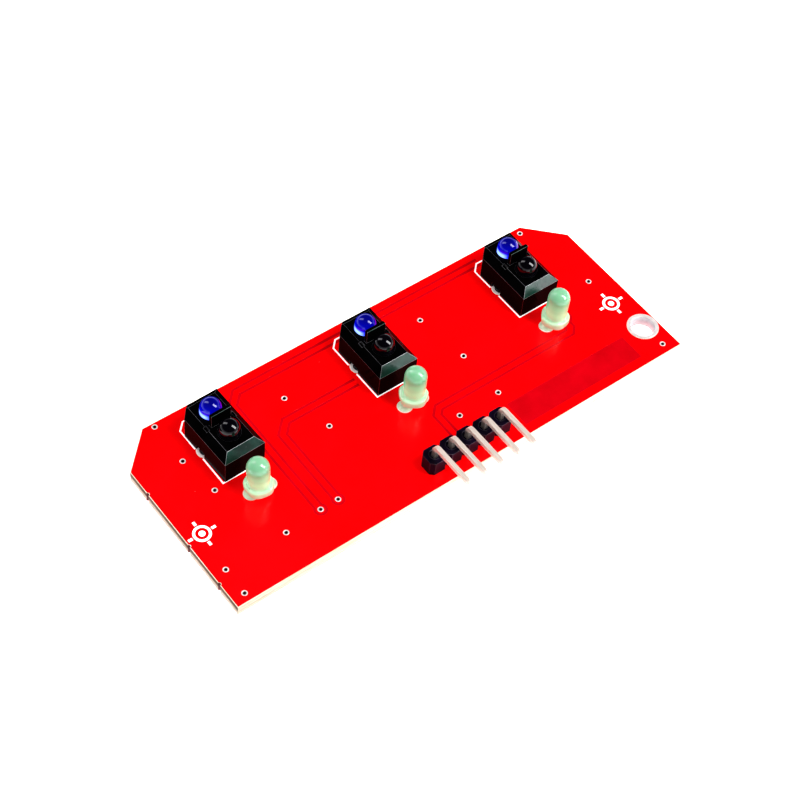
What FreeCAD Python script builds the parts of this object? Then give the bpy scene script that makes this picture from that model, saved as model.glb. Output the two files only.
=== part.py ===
import FreeCAD, Part
import math
import os

# Three-channel reflective line-follower sensor board. Millimetres, +Z up.
# The model is drawn in the board's own frame: origin at the middle of the board's top face, +X along the
# long side, +Y towards the side with the two cut corners, where the sensors are. The header points to -Y.
# On export everything is moved so that the lead tips stand on Z = 0 and the origin is under the middle of
# the whole footprint.

V = FreeCAD.Vector

# ---- driving dimensions -------------------------------------------------------------------------------
PITCH = 2.54                    # standard lead pitch
CHANNEL_PITCH = 9 * PITCH       # from one sensor to the next
CHANNELS = ("left", "middle", "right")

BOARD_LENGTH = 68.4
BOARD_WIDTH = 27.1
BOARD_THICKNESS = 1.6
CORNER_CUT = 4.6                # the two back corners
CORNER_ROUND = 0.3              # the two front corners
COPPER = 0.05                   # plated copper with its tin
BOARD_UNDER = -BOARD_THICKNESS
STAND_Z = -3.5                  # level at which the sensor and LED leads are trimmed

MOUNT_HOLE_X, MOUNT_HOLE_Y = 32.0, -8.6
MOUNT_HOLE_R = 1.6
MOUNT_PAD_R = 2.05

VIA_HOLE_R = 0.21
VIA_PAD_R = 0.39
VIAS = (
    (-28.2, 12.9), (-28.2, 6.8), (-27.4, 1.2), (-12.8, 7.7), (-10.7, 1.2), (-18.7, -8.05),
    (-16.15, -8.05), (-23.9, -8.4), (-32.5, -8.6), (-32.5, -12.4), (8.7, 8.2), (9.7, 0.55),
    (3.5, -6.5), (9.7, -6.4), (28.9, 12.6), (31.1, 1.1), (32.2, -12.2),
)

# reflective sensor
SENSOR_X0 = -0.15               # middle sensor's centre
SENSOR_Y = 6.6
SENSOR_WIDTH = 5.8
SENSOR_FRONT, SENSOR_BACK, SENSOR_BACK_DRAFT = -5.1, 5.0, 0.25      # from the sensor's middle
SENSOR_YAWS = (1.5, 0.0, 0.0)   # degrees, as soldered by hand
SENSOR_SEAT = 0.06              # the housing stands on the copper rings
SENSOR_WALL_TOP = 3.4
SENSOR_TOP = 4.35
SENSOR_BEVEL = 0.95
SENSOR_KEY_CUT = 1.8            # the cut corner that marks the emitter end
FIN_LENGTH, FIN_THICKNESS, FIN_TOP = 2.8, 0.5, 6.4
FIN_ROUND = 0.1
LENS_SPACING = 3.8
LENS_R = 1.35
LENS_CENTRE_Z = 4.95
LENS_WELL_R = 1.43
LENS_FLANGE_R, LENS_FLANGE_BASE, LENS_FLANGE_TOP = 1.6, 1.0, 2.65
LENS_FLANGE_GAP = 0.1
PEG_X, PEG_R, PEG_TIP_R, PEG_TIP, PEG_END = 2.05, 0.65, 0.35, 0.5, -2.4
PEG_HOLE_R, PEG_RING_R = 0.75, 1.15
PEG_RELIEF_WIDTH, PEG_RELIEF_DEPTH, PEG_RELIEF_HEIGHT = 1.7, 0.35, 0.9
SIDE_NICK_LENGTH, SIDE_NICK_DEPTH = 0.8, 0.2
SENSOR_LEAD = 0.45
SENSOR_LEAD_HOLE_R, SENSOR_LEAD_PAD_R = 0.4, 0.72
SENSOR_SHELF_BOTTOM, SENSOR_SHELF_TOP = 1.7, 2.1
SENSOR_CUP = (0.8, 0.6, 3.5)    # length, width and top of the cup that carries the chip
SENSOR_POST = (0.4, 0.4, 3.4)   # the same for the post that takes the bond wire
CUP_EDGE, POST_EDGE = -0.15, 0.35       # inner faces of cup and post, from the middle of the body

# indicator LED
LED_Y = -1.6
LED_FLANGE_R, LED_FLANGE_H, LED_FLAT, LED_FLANGE_ROUND = 1.9, 1.0, 1.6, 0.28
LED_R = 1.43
LED_LENGTH = 5.5
LED_LEAD = 0.5
LED_LEAD_HOLE_R, LED_LEAD_PAD_R = 0.47, 0.95
LED_SEATS = (0.8, 0.95, 0.6)                         # how high each stands, as soldered by hand
LED_LEANS = ((1.5, -4.5), (0.0, 0.0), (0.0, 0.0))    # degrees about X and Y
LED_SHELF_BOTTOM, LED_SHELF_TOP = 0.5, 0.9           # these and the next heights are above the seat
LED_CUP_LENGTH, LED_CUP_TOP = 0.85, 2.4
LED_POST_LENGTH, LED_POST_TOP = 0.45, 2.8
LED_REFLECTOR_X = -0.57
LED_REFLECTOR_FOOT_R, LED_REFLECTOR_RIM_R, LED_REFLECTOR_HEIGHT = 0.3, 0.5, 0.5
LEAD_SPARE = 1.0                                     # extra length, trimmed off level with the others

# right-angle pin header
HEADER_PINS = 5
HEADER_X0 = PITCH / 2           # middle pin
HEADER_Y = -10.56
HEADER_BLOCK_DEPTH, HEADER_BLOCK_TOP, HEADER_BLOCK_CUT = 2.5, 2.25, 0.5
HEADER_RECESS_R, HEADER_RECESS_FLOOR_R, HEADER_RECESS_DEPTH = 0.75, 0.48, 0.3
PIN_SIDE = 0.64
PIN_ROW_Z = 3.83                # centre line of the bent-over pins
PIN_BEND_R = 0.62
PIN_TIP_Y, PIN_TAIL_Z = -17.1, -3.0
PIN_TAPER, PIN_TIP_SIDE = 0.6, 0.3
HEADER_HOLE_R, HEADER_PAD_R = 0.5, 0.85

# underside parts
CHIP_X, CHIP_Y = -11.5, -4.4
CHIP_LENGTH, CHIP_WIDTH, CHIP_BODY_H, CHIP_STANDOFF = 8.65, 3.9, 1.4, 0.12
CHIP_SPAN, CHIP_LEADS, CHIP_LEAD_PITCH = 6.0, 14, 1.27
CHIP_LEAD_WIDTH, CHIP_LEAD_THICK, CHIP_FOOT, CHIP_LEAD_SLOPE = 0.41, 0.2, 0.7, 0.15
CHIP_DRAFT = 0.15
CHIP_DIMPLE_INSET, CHIP_DIMPLE_R, CHIP_DIMPLE_DEPTH = 0.9, 0.35, 0.1
CHIP_PAD_WIDTH = 0.6
RESISTOR = (2.0, 1.25, 0.5)
CAPACITOR = (2.0, 1.25, 0.85)
END_CAP = 0.35
PAD_MARGIN, PAD_SIDE_MARGIN, PAD_UNDER_BODY = 0.25, 0.05, 0.1
SENSOR_RESISTOR_DX = 5.9
SENSOR_RESISTOR_YS = (4.2, 6.8, 9.4)
OTHER_RESISTORS = ((-11.5, 3.6), (-11.5, 6.0))
CAPACITORS = ((-4.6, -4.4), (14.0, -4.0))

SOLDER_DROP = 0.9               # height of a solder fillet under the board
SOLDER_RISE = 0.4               # what wicks through to the top round the LED leads
SOLDER_EDGE = 0.06              # pad left showing round it
SOLDER_NECK = 0.12

OVERSHOOT = 1.0                 # how far a cutting shape runs past the faces it cuts
TINY = 1e-6

# ---- where the parts stand ----------------------------------------------------------------------------
sensor_xs = [SENSOR_X0 + CHANNEL_PITCH * (i - 1) for i in range(len(CHANNELS))]
led_xs = [CHANNEL_PITCH * (i - 1) for i in range(len(CHANNELS))]
pin_xs = [HEADER_X0 + PITCH * (i - (HEADER_PINS - 1) / 2) for i in range(HEADER_PINS)]
lens_ys = (SENSOR_Y + LENS_SPACING / 2, SENSOR_Y - LENS_SPACING / 2)
front_edge, back_edge = -BOARD_WIDTH / 2, BOARD_WIDTH / 2
to_footprint_middle = V(0, -(back_edge + PIN_TIP_Y) / 2, -STAND_Z)


# ---- helpers ------------------------------------------------------------------------------------------
def block(x0, x1, y0, y1, z0, z1):
    return Part.makeBox(x1 - x0, y1 - y0, z1 - z0, V(x0, y0, z0))


def post(x, y, side, z0, z1):
    return block(x - side / 2, x + side / 2, y - side / 2, y + side / 2, z0, z1)


def rod(x, y, r, z0, z1):
    return Part.makeCylinder(r, z1 - z0, V(x, y, z0))


def outline(points):
    return Part.Face(Part.makePolygon([V(*p) for p in points] + [V(*points[0])]))


def level_wire(x0, x1, y0, y1, z):
    corners = [V(x0, y0, z), V(x1, y0, z), V(x1, y1, z), V(x0, y1, z)]
    return Part.makePolygon(corners + corners[:1])


def rectangle_wire(x, y, half_x, half_y, z):
    return level_wire(x - half_x, x + half_x, y - half_y, y + half_y, z)


def upright(edge):
    low, high = edge.Vertexes[0], edge.Vertexes[-1]
    return abs(low.X - high.X) + abs(low.Y - high.Y) < TINY


def edges_at_top(shape, z):
    return [e for e in shape.Edges if min(v.Z for v in e.Vertexes) > z - TINY]


def fuse_all(shapes):
    return shapes[0].multiFuse(shapes[1:]).removeSplitter()


def write(name, shapes):
    """One STEP file per node. A group of separate solids is written as one compound."""
    solids = [s for shape in shapes for s in shape.Solids]
    shape = solids[0] if len(solids) == 1 else Part.makeCompound(solids)
    shape = shape.copy()
    shape.translate(to_footprint_middle)
    shape.exportStep("parts/%s.step" % name)


# ---- the board and its plated holes -------------------------------------------------------------------
def bore(x, y, r):
    """What a drill takes out of the board."""
    return rod(x, y, r, BOARD_UNDER - OVERSHOOT, OVERSHOOT)


def pad_rings(x, y, hole_r, pad_r):
    """A flat ring on each face, with nothing in the hole."""
    rings = [rod(x, y, pad_r, 0, COPPER), rod(x, y, pad_r, BOARD_UNDER - COPPER, BOARD_UNDER)]
    return [ring.cut(bore(x, y, hole_r)) for ring in rings]


def plated_hole(x, y, hole_r, pad_r):
    """Copper barrel through the board with a ring on each face."""
    eyelet = fuse_all([
        rod(x, y, hole_r + COPPER, BOARD_UNDER, 0),
        rod(x, y, pad_r, 0, COPPER),
        rod(x, y, pad_r, BOARD_UNDER - COPPER, BOARD_UNDER),
    ])
    return eyelet.cut(bore(x, y, hole_r))


sensor_lead_places = [(x + dx, y) for x in sensor_xs for y in lens_ys for dx in (-PITCH / 2, PITCH / 2)]
led_lead_places = [(x + dx, LED_Y) for x in led_xs for dx in (-PITCH / 2, PITCH / 2)]
header_places = [(x, HEADER_Y) for x in pin_xs]
peg_places = [(x + dx, SENSOR_Y) for x in sensor_xs for dx in (-PEG_X, PEG_X)]
lead_hole_rows = (              # places, hole radius, pad radius
    (sensor_lead_places, SENSOR_LEAD_HOLE_R, SENSOR_LEAD_PAD_R),
    (led_lead_places, LED_LEAD_HOLE_R, LED_LEAD_PAD_R),
    (header_places, HEADER_HOLE_R, HEADER_PAD_R),
)


def circuit_board():
    half, cut = BOARD_LENGTH / 2, CORNER_CUT
    sheet = outline([
        (-half, front_edge, 0),
        (half, front_edge, 0),
        (half, back_edge - cut, 0),
        (half - cut, back_edge, 0),
        (-half + cut, back_edge, 0),
        (-half, back_edge - cut, 0),
    ])
    board = sheet.extrude(V(0, 0, BOARD_UNDER))
    front_corners = [e for e in board.Edges if upright(e) and e.Vertexes[0].Y < front_edge + TINY]
    board = board.makeFillet(CORNER_ROUND, front_corners)
    holes = [bore(MOUNT_HOLE_X, MOUNT_HOLE_Y, MOUNT_HOLE_R)]
    holes += [bore(x, y, VIA_HOLE_R + COPPER) for x, y in VIAS]
    holes += [bore(x, y, PEG_HOLE_R + COPPER) for x, y in peg_places]
    for places, hole_r, _ in lead_hole_rows:
        holes += [bore(x, y, hole_r + COPPER) for x, y in places]
    return board.cut(Part.makeCompound(holes))


# ---- reflective sensors -------------------------------------------------------------------------------
def sensor_shell(x):
    """Outer form of the housing: upright walls, one cut corner, and a top with all four edges bevelled."""
    half_x, cut, bevel, seat = SENSOR_WIDTH / 2, SENSOR_KEY_CUT, SENSOR_BEVEL, SENSOR_SEAT
    left, right = x - half_x, x + half_x
    front, back = SENSOR_Y + SENSOR_FRONT, SENSOR_Y + SENSOR_BACK
    back_top = back - SENSOR_BACK_DRAFT
    foot = outline([
        (left, front, seat),
        (right, front, seat),
        (right, back, seat),
        (left + cut, back, seat),
        (left, back - cut, seat),
    ])
    base = level_wire(left, right, front, back, seat)
    wall_top = level_wire(left, right, front, back_top, SENSOR_WALL_TOP)
    top = level_wire(left + bevel, right - bevel, front + bevel, back_top - bevel, SENSOR_TOP)
    walls = Part.makeLoft([base, wall_top], True, True)
    roof = Part.makeLoft([wall_top, top], True, True)
    return foot.extrude(V(0, 0, SENSOR_TOP - seat)).common(walls.fuse(roof))


def sensor_fin(x):
    half_x, half_y = FIN_LENGTH / 2, FIN_THICKNESS / 2
    fin = block(x - half_x, x + half_x, SENSOR_Y - half_y, SENSOR_Y + half_y, SENSOR_WALL_TOP, FIN_TOP)
    return fin.makeFillet(FIN_ROUND, edges_at_top(fin, FIN_TOP))


def sensor_wells(x):
    """What the two lenses and their flanges take out of the shell."""
    flange_r = LENS_FLANGE_R + LENS_FLANGE_GAP
    below = SENSOR_SEAT - OVERSHOOT
    wells = []
    for y in lens_ys:
        wells.append(rod(x, y, LENS_WELL_R, below, FIN_TOP))
        wells.append(rod(x, y, flange_r, below, LENS_FLANGE_TOP + LENS_FLANGE_GAP))
    return wells


def side_cuts(x, side):
    """Clearance over the peg-hole ring, and the small moulding nick in the top edge, on one side."""
    wall = x + side * SENSOR_WIDTH / 2
    wall_xs = sorted((wall, wall - side * PEG_RELIEF_DEPTH))
    top_edge = x + side * (SENSOR_WIDTH / 2 - SENSOR_BEVEL)
    relief = block(*wall_xs, SENSOR_Y - PEG_RELIEF_WIDTH / 2, SENSOR_Y + PEG_RELIEF_WIDTH / 2,
                   SENSOR_SEAT, PEG_RELIEF_HEIGHT)
    nick = block(top_edge - SIDE_NICK_DEPTH, top_edge + SIDE_NICK_DEPTH,
                 SENSOR_Y - SIDE_NICK_LENGTH / 2, SENSOR_Y + SIDE_NICK_LENGTH / 2,
                 SENSOR_TOP - SIDE_NICK_DEPTH, SENSOR_TOP)
    return [relief, nick]


def sensor_peg(x):
    tip = Part.makeCone(PEG_TIP_R, PEG_R, PEG_TIP, V(x, SENSOR_Y, PEG_END))
    return [rod(x, SENSOR_Y, PEG_R, PEG_END + PEG_TIP, SENSOR_SEAT), tip]


def sensor_housing(x):
    """Black shell with a bevelled top, a cut corner, two lens wells, a fin between them and two pegs."""
    shell = sensor_shell(x).fuse(sensor_fin(x))
    for cutter in sensor_wells(x) + side_cuts(x, -1) + side_cuts(x, 1):
        shell = shell.cut(cutter)
    return fuse_all([shell] + sensor_peg(x - PEG_X) + sensor_peg(x + PEG_X))


def lead_frame(x, y, lead, bottom, shelf, cup, post_size):
    """One lead with a cup and one with a post, joined to them by a shelf inside the moulded body."""
    half = lead / 2
    shelf_bottom, shelf_top = shelf
    cup_length, cup_width, cup_top = cup
    post_length, post_width, post_top = post_size
    cup_x, post_x = x + CUP_EDGE, x + POST_EDGE
    left = fuse_all([
        post(x - PITCH / 2, y, lead, bottom, shelf_top),
        block(x - PITCH / 2 - half, cup_x, y - half, y + half, shelf_bottom, shelf_top),
        block(cup_x - cup_length, cup_x, y - cup_width / 2, y + cup_width / 2, shelf_top, cup_top),
    ])
    right = fuse_all([
        post(x + PITCH / 2, y, lead, bottom, shelf_top),
        block(post_x, x + PITCH / 2 + half, y - half, y + half, shelf_bottom, shelf_top),
        block(post_x, post_x + post_length, y - post_width / 2, y + post_width / 2, shelf_top, post_top),
    ])
    return [left, right]


def sensor_leads(x, y):
    """The two leads of one optical element, with the cup and the post that they end in."""
    shelf = (SENSOR_SHELF_BOTTOM, SENSOR_SHELF_TOP)
    return lead_frame(x, y, SENSOR_LEAD, STAND_Z, shelf, SENSOR_CUP, SENSOR_POST)


def sensor_lens(x, y, leads):
    """Clear or dark moulded body: flange, barrel and dome, cast round its leads."""
    body = fuse_all([rod(x, y, LENS_FLANGE_R, LENS_FLANGE_BASE, LENS_FLANGE_TOP),
                     rod(x, y, LENS_R, LENS_FLANGE_TOP, LENS_CENTRE_Z),
                     Part.makeSphere(LENS_R, V(x, y, LENS_CENTRE_Z), V(0, 0, 1), 0, 90)])
    return body.cut(Part.makeCompound(leads))


def turned(shape, x, yaw):
    """Turns a sensor's piece about the sensor's middle, within the play of its holes."""
    shape = shape.copy()
    shape.rotate(V(x, SENSOR_Y, 0), V(0, 0, 1), yaw)
    return shape


# ---- indicator LEDs -----------------------------------------------------------------------------------
def led_leads(x, seat):
    """Cathode with its cup, anode with its post; both reach up into the moulded body."""
    shelf = (seat + LED_SHELF_BOTTOM, seat + LED_SHELF_TOP)
    cup = (LED_CUP_LENGTH, LED_LEAD, seat + LED_CUP_TOP)
    anode_post = (LED_POST_LENGTH, LED_LEAD, seat + LED_POST_TOP)
    cathode, anode = lead_frame(x, LED_Y, LED_LEAD, STAND_Z - LEAD_SPARE, shelf, cup, anode_post)
    reflector = Part.makeCone(LED_REFLECTOR_FOOT_R, LED_REFLECTOR_RIM_R, LED_REFLECTOR_HEIGHT,
                              V(x + LED_REFLECTOR_X, LED_Y, seat + LED_CUP_TOP))
    return [fuse_all([cathode, reflector]), anode]


def led_lens(x, seat, leads):
    """Moulded body: flange with a flat on the anode side and a rounded upper edge, barrel and dome."""
    flange_top, dome_z = seat + LED_FLANGE_H, seat + LED_LENGTH - LED_R
    beyond = 2 * LED_FLANGE_R
    flange = rod(x, LED_Y, LED_FLANGE_R, seat, flange_top)
    flange = flange.cut(block(x + LED_FLAT, x + beyond, LED_Y - beyond, LED_Y + beyond, seat, flange_top))
    flange = flange.makeFillet(LED_FLANGE_ROUND, edges_at_top(flange, flange_top))
    body = fuse_all([
        flange,
        rod(x, LED_Y, LED_R, seat, dome_z),
        Part.makeSphere(LED_R, V(x, LED_Y, dome_z), V(0, 0, 1), 0, 90),
    ])
    return body.cut(Part.makeCompound(leads))


def lean(shape, x, about_x, about_y):
    """Tips an LED about its lead holes; the lead tips are then trimmed level with the others."""
    shape = shape.copy()
    middle = V(x, LED_Y, BOARD_UNDER / 2)
    shape.rotate(middle, V(1, 0, 0), about_x)
    shape.rotate(middle, V(0, 1, 0), about_y)
    reach = LED_LENGTH
    return shape.common(block(x - reach, x + reach, LED_Y - reach, LED_Y + reach, STAND_Z, 2 * reach))


# ---- pin header ---------------------------------------------------------------------------------------
def header_cell(x):
    """One eight-sided cell of the moulded strip."""
    half, deep, cut, seat = PITCH / 2, HEADER_BLOCK_DEPTH / 2, HEADER_BLOCK_CUT, SENSOR_SEAT
    left, right = x - half, x + half
    front, back = HEADER_Y - deep, HEADER_Y + deep
    base = outline([
        (left + cut, front, seat),
        (right - cut, front, seat),
        (right, front + cut, seat),
        (right, back - cut, seat),
        (right - cut, back, seat),
        (left + cut, back, seat),
        (left, back - cut, seat),
        (left, front + cut, seat),
    ])
    return base.extrude(V(0, 0, HEADER_BLOCK_TOP - seat))


def header_block():
    strip = fuse_all([header_cell(x) for x in pin_xs])
    for x in pin_xs:
        recess = Part.makeCone(HEADER_RECESS_FLOOR_R, HEADER_RECESS_R, HEADER_RECESS_DEPTH,
                               V(x, HEADER_Y, HEADER_BLOCK_TOP - HEADER_RECESS_DEPTH))
        strip = strip.cut(recess).cut(post(x, HEADER_Y, PIN_SIDE, -OVERSHOOT, HEADER_BLOCK_TOP))
    return strip


def tapered_end(face_centre, direction):
    """The last stretch of a square pin, narrowing to its tip."""
    def square(side, at):
        if direction.z:
            return rectangle_wire(at.x, at.y, side / 2, side / 2, at.z)
        corners = [V(at.x - side / 2, at.y, at.z - side / 2), V(at.x + side / 2, at.y, at.z - side / 2),
                   V(at.x + side / 2, at.y, at.z + side / 2), V(at.x - side / 2, at.y, at.z + side / 2)]
        return Part.makePolygon(corners + corners[:1])
    tip = face_centre + direction * PIN_TAPER
    return Part.makeLoft([square(PIN_SIDE, face_centre), square(PIN_TIP_SIDE, tip)], True, True)


def header_pin(x):
    """Square wire: tail through the board, up through the block, bent over and out past the front edge."""
    half = PIN_SIDE / 2
    bend_z = PIN_ROW_Z - PIN_BEND_R
    riser = post(x, HEADER_Y, PIN_SIDE, PIN_TAIL_Z + PIN_TAPER, bend_z)
    section = Part.Face(rectangle_wire(x, HEADER_Y, half, half, bend_z))
    bend = section.revolve(V(x, HEADER_Y - PIN_BEND_R, bend_z), V(1, 0, 0), 90)
    run_start, run_end = HEADER_Y - PIN_BEND_R, PIN_TIP_Y + PIN_TAPER
    run = block(x - half, x + half, run_end, run_start, PIN_ROW_Z - half, PIN_ROW_Z + half)
    ends = [tapered_end(V(x, HEADER_Y, PIN_TAIL_Z + PIN_TAPER), V(0, 0, -1)),
            tapered_end(V(x, run_end, PIN_ROW_Z), V(0, -1, 0))]
    return fuse_all([riser, bend, run] + ends)


# ---- underside: comparator chip, resistors and capacitors --------------------------------------------
chip_lead_places = [(CHIP_X + CHIP_LEAD_PITCH * (i - (CHIP_LEADS / 2 - 1) / 2), side)
                    for side in (-1, 1) for i in range(CHIP_LEADS // 2)]
pad_face = BOARD_UNDER - COPPER


def chip_body():
    top = pad_face - CHIP_STANDOFF
    middle, bottom = top - CHIP_BODY_H / 2, top - CHIP_BODY_H
    half_x, half_y = CHIP_LENGTH / 2, CHIP_WIDTH / 2
    parting = rectangle_wire(CHIP_X, CHIP_Y, half_x, half_y, middle)
    halves = []
    for z in (top, bottom):
        face = rectangle_wire(CHIP_X, CHIP_Y, half_x - CHIP_DRAFT, half_y - CHIP_DRAFT, z)
        halves.append(Part.makeLoft([parting, face], True, True))
    dimple = rod(CHIP_X - half_x + CHIP_DIMPLE_INSET, CHIP_Y - half_y + CHIP_DIMPLE_INSET, CHIP_DIMPLE_R,
                 bottom - OVERSHOOT, bottom + CHIP_DIMPLE_DEPTH)
    return fuse_all(halves).cut(dimple)


def chip_lead(x, side):
    """Gull-wing lead: flat foot on its pad, riser, and shoulder into the body."""
    wall, toe = CHIP_WIDTH / 2, CHIP_SPAN / 2
    shoulder = pad_face - CHIP_STANDOFF - CHIP_BODY_H / 2
    t, heel, slope = CHIP_LEAD_THICK, toe - CHIP_FOOT, CHIP_LEAD_SLOPE
    profile = [
        (wall, shoulder + t / 2),
        (heel - slope, shoulder + t / 2),
        (heel, pad_face),
        (toe, pad_face),
        (toe, pad_face - t),
        (heel + slope, pad_face - t),
        (heel, shoulder - t / 2),
        (wall, shoulder - t / 2),
    ]
    face = outline([(x - CHIP_LEAD_WIDTH / 2, CHIP_Y + side * y, z) for y, z in profile])
    return face.extrude(V(CHIP_LEAD_WIDTH, 0, 0))


def chip_part(x, y, size):
    """Body and the two end caps of one chip resistor or capacitor, lying across the board."""
    length, width, height = size
    stations = (x - length / 2, x - length / 2 + END_CAP, x + length / 2 - END_CAP, x + length / 2)
    left_cap, body, right_cap = [
        block(x0, x1, y - width / 2, y + width / 2, pad_face - height, pad_face)
        for x0, x1 in zip(stations, stations[1:])
    ]
    return body, [left_cap, right_cap]


def chip_part_pads(x, y, size):
    length, width, _ = size
    half_y = width / 2 + PAD_SIDE_MARGIN
    pads = []
    for side in (-1, 1):
        inner = x + side * (length / 2 - END_CAP - PAD_UNDER_BODY)
        outer = x + side * (length / 2 + PAD_MARGIN)
        pads.append(block(*sorted((inner, outer)), y - half_y, y + half_y, pad_face, BOARD_UNDER))
    return pads


def chip_lead_pad(x, side):
    heel = CHIP_Y + side * (CHIP_SPAN / 2 - CHIP_FOOT - PAD_MARGIN)
    toe = CHIP_Y + side * (CHIP_SPAN / 2 + PAD_MARGIN)
    half_x = CHIP_PAD_WIDTH / 2
    return block(x - half_x, x + half_x, *sorted((heel, toe)), pad_face, BOARD_UNDER)


resistor_places = [(x + SENSOR_RESISTOR_DX, y) for x in sensor_xs for y in SENSOR_RESISTOR_YS]
resistor_places += list(OTHER_RESISTORS)


# ---- solder -------------------------------------------------------------------------------------------
def neck_radius(lead_side):
    """Radius round a square lead at the thin end of its fillet."""
    return lead_side / 2 * math.sqrt(2) + SOLDER_NECK


def solder_fillet(x, y, pad_r, lead_side, leads):
    neck, foot = neck_radius(lead_side), pad_r - SOLDER_EDGE
    cone = Part.makeCone(neck, foot, SOLDER_DROP, V(x, y, pad_face - SOLDER_DROP))
    return cone.cut(leads)


def top_fillet(x, y, pad_r, lead_side, leads):
    """What wicks through the hole and stands round the lead on the top face."""
    neck, foot = neck_radius(lead_side), pad_r - SOLDER_EDGE
    return Part.makeCone(foot, neck, SOLDER_RISE, V(x, y, COPPER)).cut(leads)


# ---- build and write every node -----------------------------------------------------------------------
os.makedirs("parts", exist_ok=True)

write("circuit_board", [circuit_board()])
write("mounting_hole_rings", pad_rings(MOUNT_HOLE_X, MOUNT_HOLE_Y, MOUNT_HOLE_R, MOUNT_PAD_R))
write("via_plating", [plated_hole(x, y, VIA_HOLE_R, VIA_PAD_R) for x, y in VIAS])
write("peg_hole_rings", [plated_hole(x, y, PEG_HOLE_R, PEG_RING_R) for x, y in peg_places])
write("lead_hole_plating", [plated_hole(x, y, hole_r, pad_r)
                            for places, hole_r, pad_r in lead_hole_rows for x, y in places])

sensor_solder = []
for channel, x, yaw in zip(CHANNELS, sensor_xs, SENSOR_YAWS):
    write(channel + "_sensor_housing", [turned(sensor_housing(x), x, yaw)])
    for element, y in zip(("emitter", "detector"), lens_ys):
        leads = sensor_leads(x, y)
        lens = turned(sensor_lens(x, y, leads), x, yaw)
        leads = [turned(lead, x, yaw) for lead in leads]
        write("%s_sensor_%s" % (channel, element), [lens])
        write("%s_sensor_%s_leads" % (channel, element), leads)
        taken = Part.makeCompound(leads)
        for dx in (-PITCH / 2, PITCH / 2):
            sensor_solder.append(solder_fillet(x + dx, y, SENSOR_LEAD_PAD_R, SENSOR_LEAD, taken))
write("sensor_solder_joints", sensor_solder)

led_solder = []
for channel, x, seat, (about_x, about_y) in zip(CHANNELS, led_xs, LED_SEATS, LED_LEANS):
    leads = led_leads(x, seat)
    lens = lean(led_lens(x, seat, leads), x, about_x, about_y)
    leads = [lean(lead, x, about_x, about_y) for lead in leads]
    write(channel + "_led_lens", [lens])
    write(channel + "_led_cathode_lead", [leads[0]])
    write(channel + "_led_anode_lead", [leads[1]])
    taken = Part.makeCompound(leads + [lens])
    for dx in (-PITCH / 2, PITCH / 2):
        for fillet in (solder_fillet, top_fillet):
            led_solder.append(fillet(x + dx, LED_Y, LED_LEAD_PAD_R, LED_LEAD, taken))
write("led_solder_joints", led_solder)

write("header_block", [header_block()])
header_solder = []
for number, x in enumerate(pin_xs, 1):
    pin = header_pin(x)
    write("header_pin_%d" % number, [pin])
    header_solder.append(solder_fillet(x, HEADER_Y, HEADER_PAD_R, PIN_SIDE, pin))
write("header_solder_joints", header_solder)

write("comparator_chip_body", [chip_body()])
write("comparator_chip_leads", [chip_lead(x, side) for x, side in chip_lead_places])
end_caps, pads = [], []
for name, places, size in (("chip_resistor_bodies", resistor_places, RESISTOR),
                           ("chip_capacitor_bodies", CAPACITORS, CAPACITOR)):
    bodies = []
    for x, y in places:
        body, caps = chip_part(x, y, size)
        bodies.append(body)
        end_caps += caps
        pads += chip_part_pads(x, y, size)
    write(name, bodies)
write("chip_end_caps", end_caps)
pads += [chip_lead_pad(x, side) for x, side in chip_lead_places]
write("surface_mount_pads", pads)
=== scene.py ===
import math

import bmesh
import bpy
from mathutils import Euler, Matrix, Vector


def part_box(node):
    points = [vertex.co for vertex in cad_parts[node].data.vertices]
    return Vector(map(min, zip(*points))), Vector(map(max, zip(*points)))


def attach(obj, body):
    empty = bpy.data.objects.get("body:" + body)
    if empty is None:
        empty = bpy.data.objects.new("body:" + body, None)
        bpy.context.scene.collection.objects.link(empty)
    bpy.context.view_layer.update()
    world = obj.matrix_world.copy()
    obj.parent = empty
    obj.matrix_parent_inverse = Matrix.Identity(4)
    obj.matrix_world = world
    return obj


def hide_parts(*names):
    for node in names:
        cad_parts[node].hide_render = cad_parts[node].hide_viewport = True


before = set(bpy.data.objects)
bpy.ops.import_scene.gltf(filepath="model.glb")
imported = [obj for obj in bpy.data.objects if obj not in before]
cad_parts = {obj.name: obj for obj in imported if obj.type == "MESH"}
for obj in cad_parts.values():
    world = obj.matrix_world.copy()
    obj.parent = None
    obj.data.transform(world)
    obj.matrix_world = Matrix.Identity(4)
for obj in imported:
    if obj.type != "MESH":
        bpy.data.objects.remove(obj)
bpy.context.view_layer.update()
MM = 0.001
scene = bpy.context.scene
scene.view_settings.view_transform = "Standard"

# ------------------------------------------------------------------ where things are, from the frame
CHANNELS = ("left", "middle", "right")
board_low, board_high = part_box("circuit_board")
BOARD_TOP, BOARD_UNDER = board_high.z, board_low.z
FRONT, BACK = board_low.y, board_high.y
LEFT, RIGHT = board_low.x, board_high.x
MID_Y = (FRONT + BACK) / 2


def centre(node):
    low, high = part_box(node)
    return (low + high) / 2


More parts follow.
